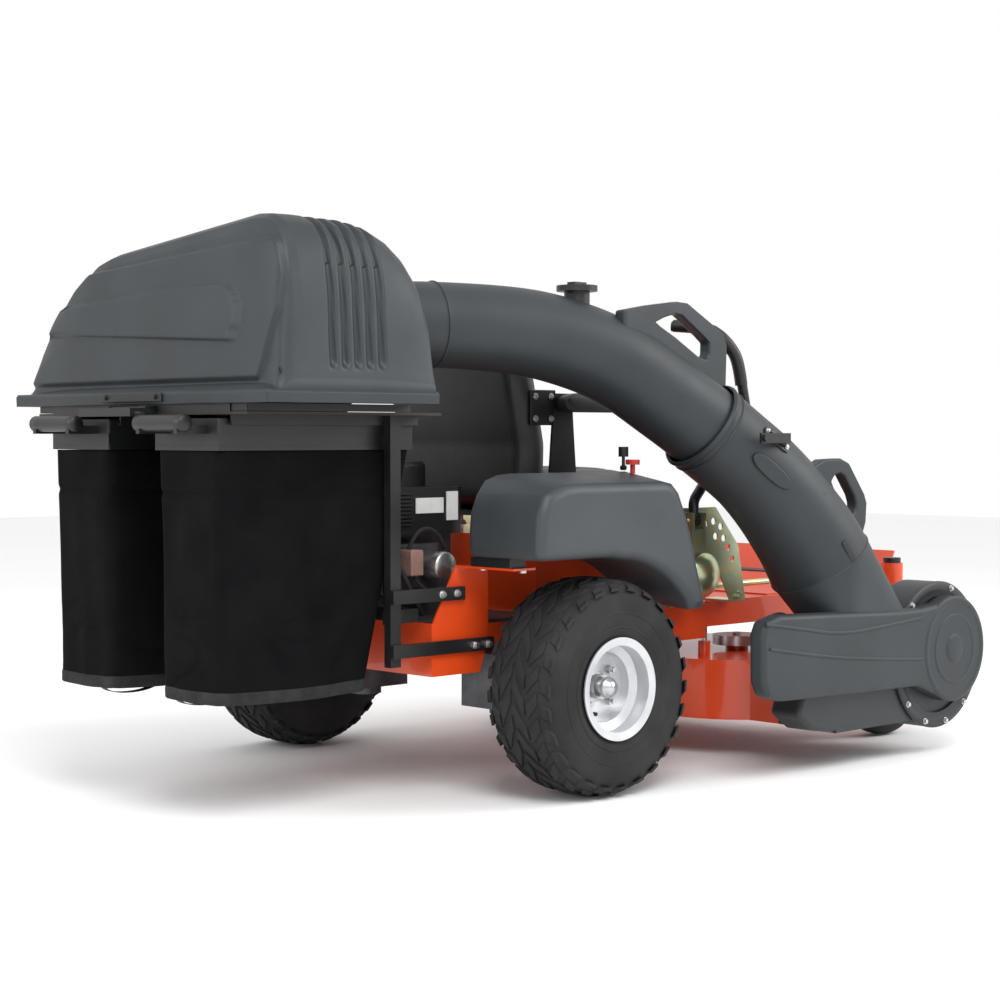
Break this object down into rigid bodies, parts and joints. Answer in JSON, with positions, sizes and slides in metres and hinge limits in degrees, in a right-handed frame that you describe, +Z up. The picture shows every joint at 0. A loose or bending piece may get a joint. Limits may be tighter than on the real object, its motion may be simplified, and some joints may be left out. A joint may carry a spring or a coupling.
{
  "type": "zero turn mower with rear bagger",
  "caption": "Ride-on zero turn mower with twin lap bars, a side blower, a large curved chute and a rear hood over two cloth grass bags.",
  "frame": {"origin": "on the ground, under the middle of the rear axle", "axes": "+X forward (the way it drives), +Y to the operator left, +Z up"},
  "size_m": [2.347, 1.43, 1.288],
  "materials": {
    "tyre": "matte",
    "caster_tyre": "matte",
    "rim": "satin",
    "steel": "brushed",
    "red_paint": "gloss",
    "black_paint": "satin",
    "slate_plastic": "matte",
    "black_plastic": "matte",
    "engine_metal": "cast",
    "zinc": "plated",
    "seat_vinyl": "grained",
    "bag_cloth": "woven",
    "strap_rubber": "matte",
    "red_plastic": "gloss"
  },
  "bodies": {
    "chassis": {"left_frame_rail": "red_paint", "right_frame_rail": "red_paint", "rear_guard": "red_paint", "front_beam": "red_paint", "foot_pan": "red_paint", "seat_deck": "red_paint", "left_fender": "slate_plastic", "right_fender": "slate_plastic", "engine_block": "engine_metal", "engine_shroud": "black_plastic", "muffler": "steel", "transaxles": "engine_metal", "lever_brackets": "zinc", "chassis_bolts": "steel", "bagger_frame": "black_paint", "cross_tie": "black_paint", "hood_base": "black_plastic", "chute_inlet_panel": "black_plastic"},
    "left_wheel": {"left_rear_tyre": "tyre", "left_rear_rim": "rim", "left_wheel_hub": "steel"},
    "left_caster": {"left_caster_fork": "black_paint"},
    "left_caster_wheel": {"left_caster_tyre": "caster_tyre", "left_caster_rim": "rim"},
    "left_lever": {"left_lever_pivot": "zinc"},
    "left_bar": {"left_lap_bar": "black_paint"},
    "left_arm": {"left_armrest": "seat_vinyl"},
    "left_cutter": {"left_blade": "steel"},
    "left_sack": {"left_bag_rim": "black_plastic", "left_bag": "bag_cloth"},
    "right_wheel": {"right_rear_tyre": "tyre", "right_rear_rim": "rim", "right_wheel_hub": "steel"},
    "right_caster": {"right_caster_fork": "black_paint"},
    "right_caster_wheel": {"right_caster_tyre": "caster_tyre", "right_caster_rim": "rim"},
    "right_lever": {"right_lever_pivot": "zinc"},
    "right_bar": {"right_lap_bar": "black_paint"},
    "right_arm": {"right_armrest": "seat_vinyl"},
    "right_cutter": {"right_blade": "steel"},
    "right_sack": {"right_bag_rim": "black_plastic", "right_bag": "bag_cloth"},
    "seat": {"seat_frame": "black_paint", "seat_cushion": "seat_vinyl", "seat_back": "seat_vinyl"},
    "deck": {"deck_shell": "red_paint", "blower_housing": "black_plastic", "belt_cover": "slate_plastic", "lower_chute": "slate_plastic", "upper_chute": "slate_plastic"},
    "fan": {"impeller": "steel"},
    "pedal": {"lift_pedal": "black_paint"},
    "strap": {"chute_latch": "strap_rubber"},
    "plug": {"sight_plug": "black_plastic"},
    "hood": {"lid": "slate_plastic"},
    "paddle": {"lid_latch": "black_plastic"},
    "brake": {"parking_brake_lever": "black_paint"},
    "throttle": {"throttle_lever": "black_plastic"},
    "pto": {"pto_knob": "red_plastic"},
    "cap": {"fuel_cap": "black_plastic"}
  },
  "joints": [
    {"name": "left_wheel_spin", "type": "hinge", "parent": "chassis", "child": "left_wheel", "pos_m": [0, 0.532, 0.25], "axis": [0, 1, 0], "continuous": true},
    {"name": "left_caster_swivel", "type": "hinge", "parent": "chassis", "child": "left_caster", "pos_m": [1.3, 0.45, 0.4], "axis": [0, 0, 1], "continuous": true},
    {"name": "left_caster_spin", "type": "hinge", "parent": "left_caster", "child": "left_caster_wheel", "pos_m": [1.25, 0.45, 0.14], "axis": [0, 1, 0], "continuous": true},
    {"name": "left_lever_drive", "type": "hinge", "parent": "chassis", "child": "left_lever", "pos_m": [0.484, 0.43, 0.56], "axis": [0, 1, 0], "range_deg": [-12, 18]},
    {"name": "left_bar_swing", "type": "hinge", "parent": "left_lever", "child": "left_bar", "pos_m": [0.484, 0.43, 0.61], "axis": [1, 0, 0], "range_deg": [0, 18]},
    {"name": "left_arm_lift", "type": "hinge", "parent": "seat", "child": "left_arm", "pos_m": [0.205, 0.26, 0.9], "axis": [0, -1, 0], "range_deg": [0, 70]},
    {"name": "left_bag_slide", "type": "slide", "parent": "chassis", "child": "left_sack", "axis": [-1, 0, 0], "range_m": [0, 0.55]},
    {"name": "right_wheel_spin", "type": "hinge", "parent": "chassis", "child": "right_wheel", "pos_m": [0, -0.532, 0.25], "axis": [0, 1, 0], "continuous": true},
    {"name": "right_caster_swivel", "type": "hinge", "parent": "chassis", "child": "right_caster", "pos_m": [1.3, -0.45, 0.4], "axis": [0, 0, 1], "continuous": true},
    {"name": "right_caster_spin", "type": "hinge", "parent": "right_caster", "child": "right_caster_wheel", "pos_m": [1.25, -0.45, 0.14], "axis": [0, 1, 0], "continuous": true},
    {"name": "right_lever_drive", "type": "hinge", "parent": "chassis", "child": "right_lever", "pos_m": [0.484, -0.43, 0.56], "axis": [0, 1, 0], "range_deg": [-12, 18]},
    {"name": "right_bar_swing", "type": "hinge", "parent": "right_lever", "child": "right_bar", "pos_m": [0.484, -0.43, 0.61], "axis": [-1, 0, 0], "range_deg": [0, 18]},
    {"name": "right_arm_lift", "type": "hinge", "parent": "seat", "child": "right_arm", "pos_m": [0.205, -0.26, 0.9], "axis": [0, -1, 0], "range_deg": [0, 70]},
    {"name": "right_bag_slide", "type": "slide", "parent": "chassis", "child": "right_sack", "axis": [-1, 0, 0], "range_m": [0, 0.55]},
    {"name": "seat_tilt", "type": "hinge", "parent": "chassis", "child": "seat", "pos_m": [0.545, 0, 0.6], "axis": [0, 1, 0], "range_deg": [0, 45]},
    {"name": "deck_lift", "type": "slide", "parent": "chassis", "child": "deck", "axis": [0, 0, 1], "range_m": [-0.05, 0.025]},
    {"name": "pedal_tilt", "type": "hinge", "parent": "chassis", "child": "pedal", "pos_m": [1.12, 0.28, 0.425], "axis": [0, 1, 0], "range_deg": [-23, 11.5]},
    {"name": "right_blade_spin", "type": "hinge", "parent": "deck", "child": "right_cutter", "pos_m": [0.85, -0.27, 0.2], "axis": [0, 0, 1], "continuous": true},
    {"name": "left_blade_spin", "type": "hinge", "parent": "deck", "child": "left_cutter", "pos_m": [0.85, 0.27, 0.2], "axis": [0, 0, 1], "continuous": true},
    {"name": "fan_spin", "type": "hinge", "parent": "deck", "child": "fan", "pos_m": [1.07, -0.7, 0.257], "axis": [0, 1, 0], "continuous": true},
    {"name": "strap_turn", "type": "hinge", "parent": "deck", "child": "strap", "pos_m": [0.43, -0.684, 0.815], "axis": [0, 1, 0], "range_deg": [-40, 0]},
    {"name": "plug_lift", "type": "slide", "parent": "deck", "child": "plug", "axis": [0, 0, 1], "range_m": [0, 0.12]},
    {"name": "lid_tilt", "type": "hinge", "parent": "chassis", "child": "hood", "pos_m": [-0.396, 0, 1.215], "axis": [0, 1, 0], "range_deg": [0, 70]},
    {"name": "paddle_tilt", "type": "hinge", "parent": "chassis", "child": "paddle", "pos_m": [-0.884, 0, 0.876], "axis": [0, 1, 0], "range_deg": [0, 25]},
    {"name": "brake_pull", "type": "hinge", "parent": "chassis", "child": "brake", "pos_m": [0.455, 0.391, 0.575], "axis": [0, 1, 0], "range_deg": [-20, 15]},
    {"name": "throttle_push", "type": "hinge", "parent": "chassis", "child": "throttle", "pos_m": [0.25, -0.408, 0.7435], "axis": [0, 1, 0], "range_deg": [-15, 15]},
    {"name": "pto_pull", "type": "slide", "parent": "chassis", "child": "pto", "axis": [0, 0, 1], "range_m": [0, 0.012]},
    {"name": "cap_turn", "type": "hinge", "parent": "chassis", "child": "cap", "pos_m": [0, 0.5, 0.74], "axis": [0, 0, 1], "continuous": true}
  ],
  "couplings": [
    {"joint": "left_blade_spin", "follows": "right_blade_spin", "ratio": 1},
    {"joint": "pedal_tilt", "follows": "deck_lift", "rad_per_m": 8}
  ]
}
